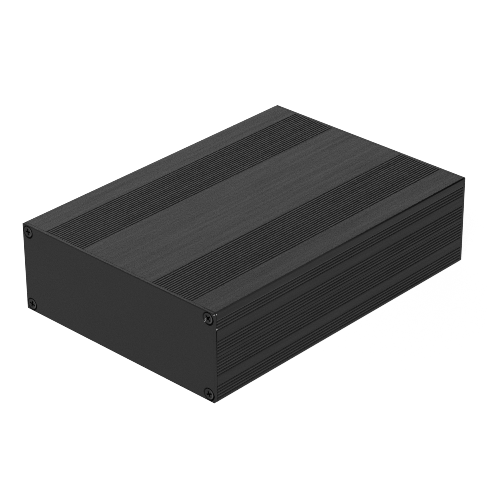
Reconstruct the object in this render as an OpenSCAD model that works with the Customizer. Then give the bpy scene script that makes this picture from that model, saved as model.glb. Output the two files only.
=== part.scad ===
// Split-body extruded aluminium enclosure: two identical half shells that key
// together at mid height, closed by a flat panel at each end.
// Width runs along X, length along Y, height along Z. The front panel faces -Y.

/* [Case] */
// Width over the side walls
case_w = 145; // [120:1:220]
// Height over both half shells
case_h = 54; // [46:1:90]
// Length of the extruded half shells
shell_l = 203; // [60:1:400]
// Thickness of each end panel
panel_t = 2; // [2:0.1:4]

/* [Shell walls] */
// Thickness of the top and bottom walls
deck_t = 2.4; // [1.8:0.1:3]
// Thickness of the side walls
side_t = 2.4; // [1.8:0.1:3]
// Radius along the four long outer edges
edge_r = 0.9; // [0.4:0.1:1.5]

/* [Grooves] */
// Spacing of the grooves
groove_pitch = 1.76; // [1.5:0.02:2.2]
// Width of a groove at the surface
groove_mouth = 1.04; // [0.6:0.02:1.3]
// Width of a groove at its floor
groove_floor = 0.52; // [0.2:0.02:0.6]
// Depth of a groove
groove_depth = 0.8; // [0.4:0.05:1]
// Grooves in each of the two bands on a deck
band_grooves = 17; // [1:1:25]
// Distance from the middle of the deck to the middle of a band
band_x = 40.8; // [34:0.2:41]
// Distance from the joint to the first groove above or below it
joint_groove_z = 2.1; // [1.8:0.1:4]
// Grooves beside the joint on the wall with the tongue
tongue_joint_grooves = 5; // [1:1:5]
// Grooves beside the joint on the wall with the socket
socket_joint_grooves = 6; // [1:1:6]
// Distance from the deck to the nearest side groove on the wall with the tongue
tongue_corner_z = 5.65; // [2.4:0.05:6]
// Grooves beside the deck on the wall with the tongue
tongue_corner_grooves = 4; // [1:1:4]
// Distance from the deck to the nearest side groove on the wall with the socket
socket_corner_z = 2.4; // [2:0.05:4]
// Grooves beside the deck on the wall with the socket
socket_corner_grooves = 5; // [1:1:5]

/* [Joint between the halves] */
// Thickness of the wall where the halves meet
joint_t = 4.4; // [4:0.1:6]
// Height of the thickened wall
joint_h = 4.8; // [3.5:0.1:6]
// Thickness of the outer lip beside the tongue
lip_t = 1.6; // [1.4:0.1:2]
// Thickness of the tongue
tongue_t = 1.2; // [0.8:0.1:1.5]
// Height of the tongue
tongue_h = 1.8; // [1.2:0.1:2.5]
// Lead-in chamfer at the tip of the tongue
tongue_lead = 0.3; // [0.1:0.05:0.35]
// Clearance between the tongue and its socket
tongue_gap = 0.1; // [0.05:0.05:0.2]
// Chamfer along the outer edges of the joint
seam_chamfer = 0.22; // [0.1:0.02:0.4]

/* [Board guides] */
// Width of a slot that takes the edge of a circuit board
slot_w = 2; // [1.2:0.1:2.6]
// Depth of a slot
slot_depth = 2.6; // [1.5:0.1:4]
// Thickness of the ribs beside the slots
rib_t = 1.4; // [1:0.1:2]
// Distance from the joint to the first rib
rib_z = 6.6; // [6:0.1:8]
// Slots in each wall of a half shell
slot_count = 2; // [1:1:3]

/* [Screw channels] */
// Distance from the outer faces to the axis of each screw
screw_inset = 4.2; // [4.1:0.05:5]
// Outer diameter of a channel
channel_d = 6; // [5:0.1:7]
// Bore of a channel
channel_bore = 2.9; // [2.7:0.05:3.2]
// Width of the slit that opens a channel to the inside
channel_slit = 1.7; // [1:0.1:2.2]

/* [Panels] */
// Chamfer around the outer face of a panel
panel_chamfer = 0.3; // [0.1:0.05:0.5]
// Broken edge around the back of a panel, a fine line where it meets the shells
panel_break = 0.2; // [0.1:0.02:0.4]
// Radius of the four corners of a panel
panel_r = 1; // [0.5:0.1:2.5]
// Screw hole through a panel
panel_hole = 3.8; // [3.6:0.05:4.2]
// Open width left around a screw head in its countersink
sink_margin = 0.6; // [0.45:0.05:0.7]

/* [Screws] */
// Diameter of a screw head
head_d = 6.6; // [6:0.05:6.7]
// Thickness of the rim of a screw head
head_rim = 0.4; // [0.35:0.05:0.45]
// Bevel around the top of a screw head
head_bevel = 0.3; // [0.1:0.05:0.3]
// Length of a screw from the top of its head to its point
screw_l = 9.5; // [6.5:0.5:19]
// Clearance between the thread core and the bore of its channel
core_gap = 0.1; // [0.05:0.05:0.2]
// Length of the point
point_l = 1.6; // [0.8:0.1:2.5]
// Diameter at the end of the point
tip_d = 0.5; // [0.2:0.1:1]
// Clearance between a screw head and its countersink
seat_gap = 0.04; // [0.02:0.01:0.1]
// Width across the arms of the cross recess
recess_w = 4; // [3:0.1:4.4]
// Thickness of an arm of the cross recess
recess_arm = 0.9; // [0.5:0.05:1.1]
// Depth of the cross recess
recess_depth = 1.4; // [0.8:0.1:1.6]
// Width across the arms at the bottom of the cross recess
recess_foot = 1.6; // [1:0.1:2]

/* [Hidden] */
$fn = 64;
// Overrun of every cutting shape past the surface it cuts
cut = 1;
half_w = case_w / 2;
half_h = case_h / 2;
half_l = shell_l / 2;
// Screw axes, measured from the middle of the case
screw_x = half_w - screw_inset;
screw_z = half_h - screw_inset;
rib_step = slot_w + rib_t;
core_d = channel_bore - 2 * core_gap;
// A countersink of 90 degrees ends at the screw hole, or at the back of a thin panel
sink_d = head_d + 2 * sink_margin;
sink_foot = max(panel_hole, sink_d - 2 * panel_t);
sink_depth = (sink_d - sink_foot) / 2;
// The head rests on the countersink by the lower edge of its rim
head_depth = sink_margin - seat_gap - head_rim;
head_h = head_rim + (head_d - sink_foot) / 2;

// Each end has its name and the turn about Z that brings it there
ENDS = [["front", 0], ["rear", 180]];
// Each corner has its name, its side in X and Z as seen from the front, and how
// far its screw happens to be turned at the front and at the rear
CORNERS = [
    ["top_left", -1, 1, [82, 71]],
    ["top_right", 1, 1, [42, 8]],
    ["bottom_left", -1, -1, [15, 55]],
    ["bottom_right", 1, -1, [66, 33]]
];

function screw_name(end, corner) = str(end[0], "_screw_", corner[0]);

// Section of one groove, cut down from a surface at y = 0
module groove() {
    polygon([
        [-groove_mouth / 2, cut],
        [-groove_mouth / 2, 0],
        [-groove_floor / 2, -groove_depth],
        [groove_floor / 2, -groove_depth],
        [groove_mouth / 2, 0],
        [groove_mouth / 2, cut]
    ]);
}

// Two bands of grooves across a deck
module deck_grooves() {
    for (side = [-1, 1])
        for (i = [0 : band_grooves - 1])
            translate([side * band_x + (i - (band_grooves - 1) / 2) * groove_pitch, half_h])
                groove();
}

// Two groups of grooves down one side wall: beside the joint and beside the deck
module side_grooves(side, joint_count, corner_z, corner_count) {
    for (i = [0 : joint_count - 1])
        translate([side * half_w, joint_groove_z + i * groove_pitch])
            rotate(-90 * side) groove();
    for (i = [0 : corner_count - 1])
        translate([side * half_w, half_h - corner_z - i * groove_pitch])
            rotate(-90 * side) groove();
}

// What is cut from a square corner at the origin to leave a round of radius r
module corner_waste(r) {
    translate([-r, -r])
        difference() {
            square(r + cut);
            circle(r);
        }
}

// Solid outline of a half shell, with the tongue that hangs below its joint face
module half_blank() {
    tongue_outer = half_w - lip_t;
    tongue_inner = tongue_outer - tongue_t;
    polygon([
        [-half_w, half_h],
        [-half_w, 0],
        [tongue_inner, 0],
        [tongue_inner, tongue_lead - tongue_h],
        [tongue_inner + tongue_lead, -tongue_h],
        [tongue_outer - tongue_lead, -tongue_h],
        [tongue_outer, tongue_lead - tongue_h],
        [tongue_outer, 0],
        [half_w, 0],
        [half_w, half_h]
    ]);
}

// Ribs that guide a circuit board by its edges
module board_ribs() {
    for (side = [0, 1])
        mirror([side, 0])
            for (i = [0 : slot_count])
                translate([half_w - side_t - slot_depth, rib_z + i * rib_step])
                    square([slot_depth + cut, rib_t]);
}

// Screw channels in the two corners, drawn as solid round bosses
module channel_bosses() {
    for (side = [-1, 1])
        translate([side * screw_x, screw_z]) circle(d = channel_d);
}

// Hollow of a half shell, narrower between the thick walls at the joint, around
// the ribs and bosses that stay standing in it
module hollow() {
    joint_x = half_w - joint_t;
    wall_x = half_w - side_t;
    deck_z = half_h - deck_t;
    difference() {
        polygon([
            [-joint_x, -cut],
            [joint_x, -cut],
            [joint_x, joint_h],
            [wall_x, joint_h],
            [wall_x, deck_z],
            [-wall_x, deck_z],
            [-wall_x, joint_h],
            [-joint_x, joint_h]
        ]);
        board_ribs();
        channel_bosses();
    }
}

// Socket that takes the tongue of the other half with clearance all round
module socket() {
    translate([lip_t - tongue_gap - half_w, -cut])
        square([tongue_t + 2 * tongue_gap, tongue_h + tongue_gap + cut]);
}

// Bore of each channel and the slit that opens it towards the inside
module channel_bores() {
    for (side = [0, 1])
        mirror([side, 0])
            translate([screw_x, screw_z]) {
                circle(d = channel_bore);
                rotate(225)
                    translate([0, -channel_slit / 2])
                        square([channel_d / 2 + cut, channel_slit]);
            }
}

// Section of a half shell, with its joint face at y = 0
module half_section() {
    difference() {
        half_blank();
        hollow();
        channel_bores();
        socket();
        deck_grooves();
        side_grooves(1, tongue_joint_grooves, tongue_corner_z, tongue_corner_grooves);
        side_grooves(-1, socket_joint_grooves, socket_corner_z, socket_corner_grooves);
        for (side = [0, 1])
            mirror([side, 0]) {
                translate([half_w, half_h]) corner_waste(edge_r);
                translate([half_w, 0]) rotate(45) square(seam_chamfer * sqrt(2), center = true);
            }
    }
}

// Half shell with its joint face at mid height, the deck upwards
module half_shell() {
    rotate([90, 0, 0])
        linear_extrude(shell_l, center = true) half_section();
}

module upper_shell() {
    color("#2f3033")
        translate([0, 0, half_h]) half_shell();
}

// The lower half is the same extrusion turned over about the length of the case
module lower_shell() {
    color("#2f3033")
        translate([0, 0, half_h]) rotate([0, 180, 0]) half_shell();
}

// Countersunk screw hole, down into a panel whose outer face is at y = 0
module panel_screw_hole() {
    rotate([-90, 0, 0])
        rotate_extrude()
            polygon([
                [0, -cut],
                [sink_d / 2, -cut],
                [sink_d / 2, 0],
                [sink_foot / 2, sink_depth],
                [sink_foot / 2, panel_t + cut],
                [0, panel_t + cut]
            ]);
}

// Bar that cuts a chamfer of the given size along one edge of a panel
module chamfer_bar(length, size) {
    rotate([45, 0, 0])
        cube([length + 2 * cut, size * sqrt(2), size * sqrt(2)], center = true);
}

// Chamfer along all four edges of one face of a panel
module edge_chamfers(size) {
    for (side = [-1, 1]) {
        translate([0, 0, side * half_h]) chamfer_bar(case_w, size);
        translate([side * half_w, 0, 0]) rotate([0, 90, 0]) chamfer_bar(case_h, size);
    }
}

// Blank of an end panel, centred on the case axis, with its outer face at y = 0
module panel_blank() {
    rotate([90, 0, 0])
        translate([0, 0, -panel_t])
            linear_extrude(panel_t)
                difference() {
                    square([case_w, case_h], center = true);
                    for (flip_x = [0, 1])
                        for (flip_z = [0, 1])
                            mirror([flip_x, 0])
                                mirror([0, flip_z])
                                    translate([half_w, half_h]) corner_waste(panel_r);
                }
}

module end_panel() {
    difference() {
        panel_blank();
        for (corner = CORNERS)
            translate([corner[1] * screw_x, 0, corner[2] * screw_z]) panel_screw_hole();
        edge_chamfers(panel_chamfer);
        translate([0, panel_t, 0]) edge_chamfers(panel_break);
    }
}

// Puts a thing drawn on the outer face of an end panel in its place at that end
module at_end(end) {
    translate([0, 0, half_h])
        rotate(end[1])
            translate([0, -half_l - panel_t, 0]) children();
}

module front_panel() {
    color("#34353a") at_end(ENDS[0]) end_panel();
}

module rear_panel() {
    color("#34353a") at_end(ENDS[1]) end_panel();
}

// Cross recess sunk into a head whose top is at z = 0, the depth along +Z
module cross_recess() {
    for (turn = [0, 90])
        rotate(turn)
            rotate([90, 0, 0])
                linear_extrude(recess_arm, center = true)
                    polygon([
                        [-recess_w / 2, -cut],
                        [-recess_w / 2, 0],
                        [-recess_foot / 2, recess_depth],
                        [recess_foot / 2, recess_depth],
                        [recess_w / 2, 0],
                        [recess_w / 2, -cut]
                    ]);
}

// Countersunk self-tapping screw, the top of its head at y = 0 and its point along +Y
module countersunk_screw(turn) {
    rotate([-90, 0, 0])
        difference() {
            rotate_extrude()
                polygon([
                    [0, 0],
                    [head_d / 2 - head_bevel, 0],
                    [head_d / 2, head_bevel],
                    [head_d / 2, head_rim],
                    [sink_foot / 2, head_h],
                    [core_d / 2, head_h],
                    [core_d / 2, screw_l - point_l],
                    [tip_d / 2, screw_l],
                    [0, screw_l]
                ]);
            rotate(turn) cross_recess();
        }
}

// One of the eight screws. The rear end is turned about, so its left and right change over
module end_screw(end, corner) {
    rear = end[1] == 180;
    color("#18181a")
        at_end(end)
            translate([(rear ? -1 : 1) * corner[1] * screw_x, head_depth, corner[2] * screw_z])
                countersunk_screw(corner[3][rear ? 1 : 0]);
}

upper_shell();
lower_shell();
front_panel();
rear_panel();
for (end = ENDS)
    for (corner = CORNERS)
        end_screw(end, corner);
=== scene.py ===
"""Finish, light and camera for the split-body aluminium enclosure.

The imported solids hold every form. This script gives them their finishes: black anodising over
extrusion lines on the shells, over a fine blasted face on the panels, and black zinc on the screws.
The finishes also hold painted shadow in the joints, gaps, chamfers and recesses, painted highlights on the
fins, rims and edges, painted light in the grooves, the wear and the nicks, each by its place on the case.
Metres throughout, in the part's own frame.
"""

import math

import bpy
from mathutils import Matrix, Vector


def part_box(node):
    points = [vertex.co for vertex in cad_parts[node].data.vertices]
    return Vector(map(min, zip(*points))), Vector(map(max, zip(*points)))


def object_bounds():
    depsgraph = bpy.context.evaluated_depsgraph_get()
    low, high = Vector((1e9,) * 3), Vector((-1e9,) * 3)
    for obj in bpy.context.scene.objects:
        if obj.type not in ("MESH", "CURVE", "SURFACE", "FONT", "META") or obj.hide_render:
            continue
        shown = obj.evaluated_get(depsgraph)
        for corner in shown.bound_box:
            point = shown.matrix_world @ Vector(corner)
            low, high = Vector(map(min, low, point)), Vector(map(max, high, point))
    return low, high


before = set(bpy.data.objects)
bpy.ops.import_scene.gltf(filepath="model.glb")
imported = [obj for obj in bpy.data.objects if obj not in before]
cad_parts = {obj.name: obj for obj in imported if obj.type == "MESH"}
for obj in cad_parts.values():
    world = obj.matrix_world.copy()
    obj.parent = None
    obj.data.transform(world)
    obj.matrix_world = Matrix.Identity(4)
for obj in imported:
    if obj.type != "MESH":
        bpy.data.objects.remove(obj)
cad_low, cad_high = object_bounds()

MM = 0.001
CASE_H = cad_high.z - cad_low.z
HALF_W = cad_high.x
HALF_H = CASE_H / 2
FRONT_Y = cad_low.y
SHELL_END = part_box("upper_shell")[1].y
screw_low, screw_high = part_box("front_screw_top_right")
SCREW_X = (screw_low.x + screw_high.x) / 2
SCREW_UP = (screw_low.z + screw_high.z) / 2 - HALF_H
HEAD_R = (screw_high.x - screw_low.x) / 2


# ---------------------------------------------------------------- node helpers

NOISE_RANGE = (0.3, 0.7)    # most of a noise's values lie in it
SPOT_NOISE = 0.3 * MM       # size of the notches around a ragged spot


class Nodes:
    """Short calls that add shader nodes to one material.

    up and the three ways are measured from the middle of the case, and places as (x, y, z) in the
    part's own frame.
    """

    def __init__(self, name):
        self.material = bpy.data.materials.new(name)
        self.material.use_nodes = True
        self.tree = self.material.node_tree
        self.tree.nodes.clear()
        self.output = self.tree.nodes.new("ShaderNodeOutputMaterial")
        self.place = self.tree.nodes.new("ShaderNodeTexCoord").outputs["Object"]
        self.x, self.y, z = self.add("ShaderNodeSeparateXYZ", {0: self.place}).outputs
        self.up = self.maths("SUBTRACT", z, HALF_H)
        self.side_way = self.maths("ABSOLUTE", self.x)
        self.end_way = self.maths("ABSOLUTE", self.y)
        self.deck_way = self.maths("ABSOLUTE", self.up)

    def add(self, kind, inputs=None, **settings):
        node = self.tree.nodes.new(kind)
        for name, value in settings.items():
            setattr(node, name, value)
        for key, value in (inputs or {}).items():
            if isinstance(value, bpy.types.NodeSocket):
                self.tree.links.new(value, node.inputs[key])
            else:
                node.inputs[key].default_value = value
        return node

    def maths(self, operation, first, second=0.0):
        return self.add("ShaderNodeMath", {0: first, 1: second}, operation=operation).outputs[0]

    def chain(self, operation, first, *others):
        """The first value joined with each of the others in turn."""
        for value in others:
            first = self.maths(operation, first, value)
        return first

    def product(self, *values):
        return self.chain("MULTIPLY", *values)

    def total(self, *values):
        return self.chain("ADD", *values)

    def largest(self, *values):
        return self.chain("MAXIMUM", *values)

    def noise(self, scale, detail=2.0, roughness=0.5):
        """Noise in the range 0 to 1 over features that a size along each axis gives."""
        cycles = tuple(1 / size for size in scale)
        vector = self.add("ShaderNodeVectorMath", {0: self.place, 1: cycles}, operation="MULTIPLY").outputs[0]
        settings = {"Vector": vector, "Scale": 1.0, "Detail": detail, "Roughness": roughness}
        return self.add("ShaderNodeTexNoise", settings).outputs["Fac"]

    def ramp(self, value, low, high, out_low=0.0, out_high=1.0):
        """value taken from the range low to high into out_low to out_high."""
        inputs = {"Value": value, 1: low, 2: high, 3: out_low, 4: out_high}
        return self.add("ShaderNodeMapRange", inputs, clamp=True).outputs[0]

    def spread(self, noise, out_low, out_high):
        """The range that a noise mostly keeps to, taken into out_low to out_high."""
        return self.ramp(noise, *NOISE_RANGE, out_low, out_high)

    def lift(self, mask, factor):
        """1 where the mask is 0, and factor where it is 1."""
        return self.ramp(mask, 0.0, 1.0, 1.0, factor)

    def within(self, value, low, high, edge):
        """1 where value lies between low and high, and 0 from a distance edge outside them."""
        return self.product(self.ramp(value, low - edge, low), self.ramp(value, high, high + edge, 1.0, 0.0))

    def blend(self, mask, first, second):
        """first where the mask is 0, second where it is 1."""
        return self.add("ShaderNodeMix", {0: mask, 2: first, 3: second}).outputs[0]

    def spot(self, place, radius):
        """1 in a small ragged patch around a place, and 0 outside it."""
        distance = self.add("ShaderNodeVectorMath", {0: self.place, 1: place}, operation="DISTANCE")
        ragged_by, solid_to = 0.3 * radius, radius * 0.7
        raggedness = self.spread(self.noise((SPOT_NOISE,) * 3), -ragged_by, ragged_by)
        ragged = self.total(distance.outputs["Value"], raggedness)
        return self.ramp(ragged, solid_to, radius, 1.0, 0.0)

    def from_corner(self, side, deck):
        """Distance in X and Z from the nearest of four lines that run along Y at these two distances."""
        across = self.maths("SUBTRACT", self.side_way, side)
        above = self.maths("SUBTRACT", self.deck_way, deck)
        return self.maths("SQRT", self.total(self.product(across, across), self.product(above, above)))

    def bump(self, height, distance, normal=None):
        inputs = {"Height": height, "Distance": distance}
        if normal is not None:
            inputs["Normal"] = normal
        return self.add("ShaderNodeBump", inputs).outputs[0]

    def surface(self, lightness, roughness, normal, gloss, black=0.0, bare=0.0):
        """A grey coat over aluminium, painted black as shade in deep gaps and other shaded places, and worn
        to bare metal in spots.
        """
        colour = self.blend(bare, self.blend(black, lightness, PAINTED_SHADE), BARE)
        shader = self.add("ShaderNodeBsdfPrincipled", {
            "Base Color": colour,
            "Metallic": self.largest(black, bare),
            "Roughness": self.blend(bare, self.blend(black, roughness, PAINTED_SHADE_ROUGHNESS), BARE_ROUGHNESS),
            "Specular IOR Level": gloss,
            "Normal": normal,
        })
        self.tree.links.new(shader.outputs[0], self.output.inputs["Surface"])
        return self.material


# ------------------------------------------------------------------- materials

DYE = 0.0110            # lightness of the black anodised dye
GLOSS = 0.12            # specular level of the dyed, sealed surface
ZINC_GLOSS = 0.15       # specular level of the screws
# Painted shade: the black laid where gaps, recesses, chamfers and dark edges are in shadow
PAINTED_SHADE = 0.002            # lightness deep in a gap
PAINTED_SHADE_ROUGHNESS = 1.0
BARE = 0.50             # lightness of scuffed bare aluminium
BARE_ROUGHNESS = 0.35
FLOOR_GLOW = 0.87       # the studio table's own light, and the paleness of the room behind it
ROOM_LIGHT = 0.01       # what the room gives the case

# Where the fins between the grooves lie, as distances from the middle of the case. On the side
# walls they are positive in the half whose wall has the tongue, and negative in the other
DECK_FINS = (26.2 * MM, 55.4 * MM)
TONGUE_WALL_FINS = ((1.6 * MM, 9.7 * MM), (15.5 * MM, 21.9 * MM))
SOCKET_WALL_FINS = ((-11.4 * MM, -1.6 * MM), (-25.1 * MM, -17.0 * MM))
FIRST_GROOVE_LIP = (21.9 * MM, 22.3 * MM)

# Nicks at the front right, down to bare metal, as (x, y, z)
SHELL_CORNER_NICK = (HALF_W - 0.1 * MM, -SHELL_END + 0.15 * MM, CASE_H - 1.1 * MM)
PANEL_CORNER_NICK = (HALF_W - 0.1 * MM, FRONT_Y + 0.5 * MM, CASE_H - 0.7 * MM)
FIN_NICK = (HALF_W, -SHELL_END + 0.2 * MM, CASE_H - 10.0 * MM)
CORNER_NICK_R = 0.40 * MM
FIN_NICK_R = 0.60 * MM

# Bare-metal scrapes by the upper right screw, partly wear and partly a painted glint, as (right, up) from its
# axis
SCRAPE_AND_GLINT_PLACES = ((-1.4 * MM, -0.9 * MM), (-1.9 * MM, -1.7 * MM), (-2.2 * MM, -2.5 * MM))
SCRAPE_AND_GLINT_R = 0.45 * MM
SCRAPE_AND_GLINT_DEPTH = 0.1 * MM        # of a scrape's middle behind the panel's face
SCRAPE_AND_GLINT_STRENGTH = 0.4


def grooves(n):
    """Masks that are 1 inside the grooves, for both decks and for both side walls."""
    top, floor_depth, fade = 0.25 * MM, 0.9 * MM, 0.1 * MM
    corner = 1.5 * MM       # left out beside each long edge
    in_deck = n.within(n.deck_way, HALF_H - floor_depth, HALF_H - top, fade)
    in_wall = n.within(n.side_way, HALF_W - floor_depth, HALF_W - top, fade)
    off_side = n.ramp(n.side_way, HALF_W - corner, HALF_W - corner + fade, 1.0, 0.0)
    off_deck = n.ramp(n.deck_way, HALF_H - corner, HALF_H - corner + fade, 1.0, 0.0)
    return n.product(in_deck, off_side), n.product(in_wall, off_deck)


def fins(n):
    """Masks that are 1 on the fins' crests on the decks, on those of the side walls, and on a lip."""
    crest_depth = 0.1 * MM
    edge = 0.1 * MM
    on_deck = n.ramp(n.deck_way, HALF_H - 2 * crest_depth, HALF_H - crest_depth)
    on_deck = n.product(on_deck, n.within(n.side_way, *DECK_FINS, edge))
    on_wall = n.ramp(n.side_way, HALF_W - 2 * crest_depth, HALF_W - crest_depth)
    # The lower shell is the upper one turned over, so each side wall is the other upside down
    wall_way = n.product(n.maths("SIGN", n.x), n.up)
    zones = [n.within(wall_way, *zone, edge) for zone in TONGUE_WALL_FINS + SOCKET_WALL_FINS]
    on_lip = n.within(wall_way, *FIRST_GROOVE_LIP, edge)
    return on_deck, n.product(on_wall, n.largest(*zones)), n.product(on_wall, on_lip)


def scrape_and_glint_marks(n):
    """Bright bare-metal scrapes at the lower left of the upper right screw, on its head and its countersink:
    partly wear, partly a painted glint.
    """
    depth = FRONT_Y + SCRAPE_AND_GLINT_DEPTH
    places = [(SCREW_X + right, depth, HALF_H + SCREW_UP + up) for right, up in SCRAPE_AND_GLINT_PLACES]
    spots = [n.spot(place, SCRAPE_AND_GLINT_R) for place in places]
    return n.product(SCRAPE_AND_GLINT_STRENGTH, n.largest(*spots))


def ways_from_screw(n):
    """The distance from the nearest screw's axis, and how far to the right of that axis a point lies."""
    from_axis = n.maths("SUBTRACT", n.x, n.product(n.maths("SIGN", n.x), SCREW_X))
    return n.from_corner(SCREW_X, SCREW_UP), from_axis


def shell_finish():
    n = Nodes("black_anodised_extrusion")
    # Die lines run the whole length of an extrusion, and brushing lays shorter streaks over them
    fine_lines = n.noise((0.22 * MM, 260 * MM, 0.22 * MM), detail=3.0, roughness=0.6)
    long_streaks = n.noise((2.4 * MM, 240 * MM, 2.4 * MM), detail=3.0, roughness=0.6)
    short_streaks = n.noise((1.4 * MM, 34 * MM, 1.4 * MM), detail=2.0, roughness=0.6)
    cloud = n.noise((38 * MM, 60 * MM, 38 * MM), detail=3.0)
    grain = n.noise((0.12 * MM,) * 3, detail=1.0)

    streak_range = (-0.8, 0.8)
    streaks = n.total(n.spread(long_streaks, -0.40, 0.40), n.spread(short_streaks, -0.34, 0.34))
    deck_fin_highlight, wall_fin_highlight, lip = fins(n)
    deck_groove_light, wall_groove_light = grooves(n)
    long_edge = n.ramp(n.from_corner(HALF_W, HALF_H), 0.45 * MM, 0.80 * MM, 1.0, 0.0)
    front_edge_highlight = n.product(long_edge, n.ramp(n.y, -0.10 * SHELL_END, 0.15 * SHELL_END, 1.0, 0.0))
    # Lighter on the crests of the fins, on a lip, inside the grooves and on the long edges at the front:
    # painted highlights on the crests, the lip and the edges, and painted light that lifts the shade inside
    # the grooves
    lightness = n.product(
        DYE, n.ramp(streaks, *streak_range, 0.70, 1.30), n.spread(cloud, 0.94, 1.06),
        n.lift(deck_fin_highlight, 1.8), n.lift(wall_fin_highlight, 1.8), n.lift(lip, 2.3),
        n.lift(deck_groove_light, 1.5), n.lift(wall_groove_light, 2.0), n.lift(front_edge_highlight, 1.6))
    roughness = n.total(n.ramp(streaks, *streak_range, 0.53, 0.39), n.spread(cloud, -0.01, 0.01))
    relief = n.bump(fine_lines, 0.010 * MM)
    relief = n.bump(grain, 0.004 * MM, relief)

    # Painted shade on the rounded long edges, deepening towards the back; at the front they carry the painted
    # highlight above instead
    edge = n.product(long_edge, n.ramp(n.y, 0.1 * SHELL_END, 0.9 * SHELL_END, 0.0, 0.75))
    # Shadow in the joint with the front panel: faint on the side walls, deep in the part of them
    # that lies a little above mid height, and none on the decks
    seam = n.ramp(n.y, -SHELL_END + 0.15 * MM, -SHELL_END + 0.5 * MM, 1.0, 0.0)
    open_part = n.within(n.up, 0.0, 16.5 * MM, 0.5 * MM)
    faint = n.ramp(n.deck_way, HALF_H - 1.5 * MM, HALF_H - 1.0 * MM, 0.25, 0.0)
    seam = n.product(seam, n.total(n.product(0.70, open_part), faint))
    bare = n.largest(n.spot(SHELL_CORNER_NICK, CORNER_NICK_R), n.spot(FIN_NICK, FIN_NICK_R))
    return n.surface(lightness, roughness, relief, GLOSS, n.largest(edge, seam), bare)


def panel_finish():
    n = Nodes("black_anodised_plate")
    grain = n.noise((0.14 * MM,) * 3)
    cloud = n.noise((26 * MM, 26 * MM, 20 * MM), detail=4.0, roughness=0.6)
    # Painted highlight on the rim, which is lighter than the faces, its long edges most of all, but not
    # around the left corners
    side_rim_highlight = n.ramp(n.side_way, HALF_W - 0.24 * MM, HALF_W - 0.12 * MM)
    deck_rim = n.ramp(n.deck_way, HALF_H - 0.10 * MM, HALF_H - 0.04 * MM)
    deck_rim_highlight = n.product(deck_rim, n.ramp(n.x, -70 * MM, -63 * MM))
    lightness = n.product(
        DYE, n.spread(grain, 0.86, 1.14), n.spread(cloud, 0.95, 1.05),
        n.lift(side_rim_highlight, 1.3), n.lift(deck_rim_highlight, 2.0))
    roughness = n.spread(cloud, 0.50, 0.58)

    # Shadow in the gap behind the front panel's upper and lower rim, which opens towards the right
    gap = n.within(n.y, FRONT_Y + 1.2 * MM, -SHELL_END, 0.3 * MM)
    gap_opening = n.total(
        n.ramp(n.x, -30 * MM, 60 * MM, 0.0, 0.10), n.ramp(n.x, 60 * MM, 68 * MM, 0.0, 0.35))
    gap = n.product(gap, deck_rim, gap_opening)
    # Painted shade: a dark line along the chamfers of both panels above and below, deeper towards the right
    chamfer = n.within(n.deck_way, HALF_H - 0.55 * MM, HALF_H - 0.05 * MM, 0.10 * MM)
    chamfer = n.product(chamfer, n.ramp(n.end_way, -FRONT_Y - 0.45 * MM, -FRONT_Y - 0.35 * MM))
    chamfer = n.product(chamfer, n.ramp(n.x, -40 * MM, 50 * MM, 0.22, 0.34))
    # Shadow in the ring that a countersink leaves open around its screw head, widest on the right
    from_screw, from_axis = ways_from_screw(n)
    ring_width = n.ramp(from_axis, -HEAD_R, HEAD_R, 0.35 * MM, 0.70 * MM)
    ring = n.ramp(n.maths("SUBTRACT", from_screw, ring_width), HEAD_R, HEAD_R + 0.15 * MM, 1.0, 0.0)
    ring = n.product(ring, n.ramp(from_axis, -HEAD_R, HEAD_R, 0.50, 1.0))
    bare = n.largest(n.spot(PANEL_CORNER_NICK, CORNER_NICK_R), scrape_and_glint_marks(n))
    relief = n.bump(grain, 0.010 * MM)
    return n.surface(lightness, roughness, relief, GLOSS, n.largest(ring, gap, chamfer), bare)


def screw_finish():
    n = Nodes("black_zinc_steel")
    cloud = n.noise((1.1 * MM,) * 3, detail=3.0)
    grain = n.noise((0.10 * MM,) * 3, detail=1.0)
    from_screw, from_axis = ways_from_screw(n)
    depth = n.maths("SUBTRACT", -FRONT_Y, n.end_way)
    # A painted highlight around the right of the rim, and painted shadow at the bevel and in the recess
    screw_rim_highlight = n.within(from_screw, 2.35 * MM, 2.75 * MM, 0.15 * MM)
    screw_rim_highlight = n.product(screw_rim_highlight, n.ramp(from_axis, 0.4 * MM, 2.2 * MM))
    lightness = n.total(n.spread(cloud, 0.012, 0.026), n.product(screw_rim_highlight, 0.06))
    roughness = n.spread(cloud, 0.36, 0.48)
    bevel = n.ramp(from_screw, HEAD_R - 0.35 * MM, HEAD_R - 0.15 * MM)
    recess = n.ramp(depth, 0.08 * MM, 0.35 * MM)
    relief = n.bump(grain, 0.006 * MM)
    return n.surface(lightness, roughness, relief, ZINC_GLOSS, n.largest(bevel, recess), scrape_and_glint_marks(n))


def floor_finish():
    """A white studio table that is mostly lit from within, so the case throws little shadow on it."""
    n = Nodes("studio_table")
    fibre = n.noise((0.6 * MM,) * 3)
    shader = n.add("ShaderNodeBsdfPrincipled", {
        "Base Color": n.spread(fibre, 0.145, 0.155),
        "Roughness": 0.9,
        "Specular IOR Level": 0.2,
        "Emission Color": (1.0, 1.0, 1.0, 1.0),
        "Emission Strength": FLOOR_GLOW,
    })
    n.tree.links.new(shader.outputs[0], n.output.inputs["Surface"])
    n.material.cycles.emission_sampling = "NONE"
    return n.material


def dress(node_name, material):
    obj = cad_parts[node_name]
    obj.data.materials.clear()
    obj.data.materials.append(material)


def finish_all():
    shell, panel, screw = shell_finish(), panel_finish(), screw_finish()
    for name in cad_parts:
        if name.endswith("_shell"):
            dress(name, shell)
        elif name.endswith("_panel"):
            dress(name, panel)
        else:
            dress(name, screw)


# ---------------------------------------------------------------------- studio

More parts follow.
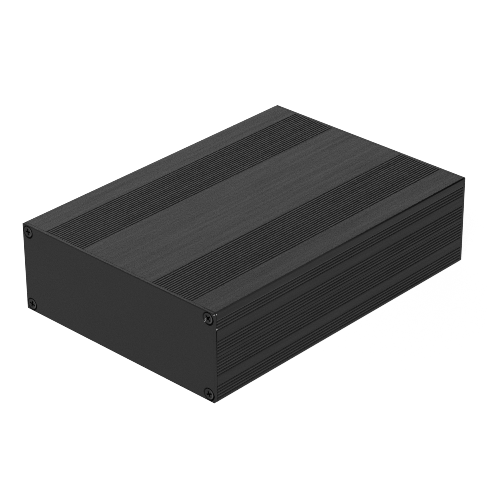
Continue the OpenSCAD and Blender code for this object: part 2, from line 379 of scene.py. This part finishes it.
def floor():
    half, below_case = 6.0, 0.02 * MM
    corners = [(-half, -half, 0), (half, -half, 0), (half, half, 0), (-half, half, 0)]
    mesh = bpy.data.meshes.new("studio_floor")
    mesh.from_pydata(corners, [], [(0, 1, 2, 3)])
    obj = bpy.data.objects.new("studio_floor", mesh)
    obj.location.z = cad_low.z - below_case
    obj.data.materials.append(floor_finish())
    bpy.context.scene.collection.objects.link(obj)


def softbox(name, place, size, watts):
    """A rectangular softbox of the given width and height, aimed from place at the case's middle."""
    data = bpy.data.lights.new(name, "AREA")
    data.shape = "RECTANGLE"
    data.size, data.size_y = size
    data.energy = watts
    obj = bpy.data.objects.new(name, data)
    obj.location = place
    aim = Vector((0.0, 0.0, CASE_H / 2)) - Vector(place)
    obj.rotation_euler = aim.to_track_quat("-Z", "Y").to_euler()
    bpy.context.scene.collection.objects.link(obj)


def lights():
    softbox("key_softbox", place=(0.9, -1.4, 1.3), size=(1.4, 1.0), watts=63.0)
    softbox("left_softbox", place=(-1.6, 0.0, 1.0), size=(1.4, 1.0), watts=22.0)
    softbox("rear_softbox", place=(-2.3, 1.65, 1.42), size=(3.2, 1.25), watts=34.5)
    world = bpy.data.worlds.new("studio")
    world.use_nodes = True
    background = world.node_tree.nodes["Background"]
    background.inputs["Color"].default_value = (1.0, 1.0, 1.0, 1.0)
    # The room gives the case next to no light, and looks as pale as the table past its far edge
    rays = world.node_tree.nodes.new("ShaderNodeLightPath")
    strength = world.node_tree.nodes.new("ShaderNodeMapRange")
    strength.inputs["To Min"].default_value = ROOM_LIGHT
    strength.inputs["To Max"].default_value = FLOOR_GLOW
    world.node_tree.links.new(rays.outputs["Is Camera Ray"], strength.inputs["Value"])
    world.node_tree.links.new(strength.outputs["Result"], background.inputs["Strength"])
    bpy.context.scene.world = world


# ---------------------------------------------------------------------- camera

def camera():
    """The camera at the photograph's viewing angle, its horizon a trace off level."""
    azimuth, elevation, roll = math.radians(43.23), math.radians(28.76), math.radians(0.33)
    distance = 1.187
    target = Vector((0.0, -3.6, 27.25)) * MM
    back = Vector((
        math.sin(azimuth) * math.cos(elevation),
        -math.cos(azimuth) * math.cos(elevation),
        math.sin(elevation),
    ))
    level = Vector((0, 0, 1)).cross(back).normalized()
    right = Matrix.Rotation(-roll, 3, back) @ level
    up = back.cross(right)
    data = bpy.data.cameras.new("camera")
    data.lens = 155.7
    data.sensor_width = 36.0
    data.clip_start, data.clip_end = 0.05, 50.0
    obj = bpy.data.objects.new("camera", data)
    turn = Matrix((right, up, back)).transposed().to_4x4()
    obj.matrix_world = Matrix.Translation(target + back * distance) @ turn
    bpy.context.scene.collection.objects.link(obj)
    bpy.context.scene.camera = obj


camera()
floor()
lights()
finish_all()

# A narrow pixel filter and no denoiser keep the grooves, which are 1 to 1.5 pixels wide in this view
bpy.context.scene.view_settings.view_transform = "Standard"
bpy.context.scene.cycles.filter_width = 0.85
bpy.context.scene.cycles.use_denoising = False
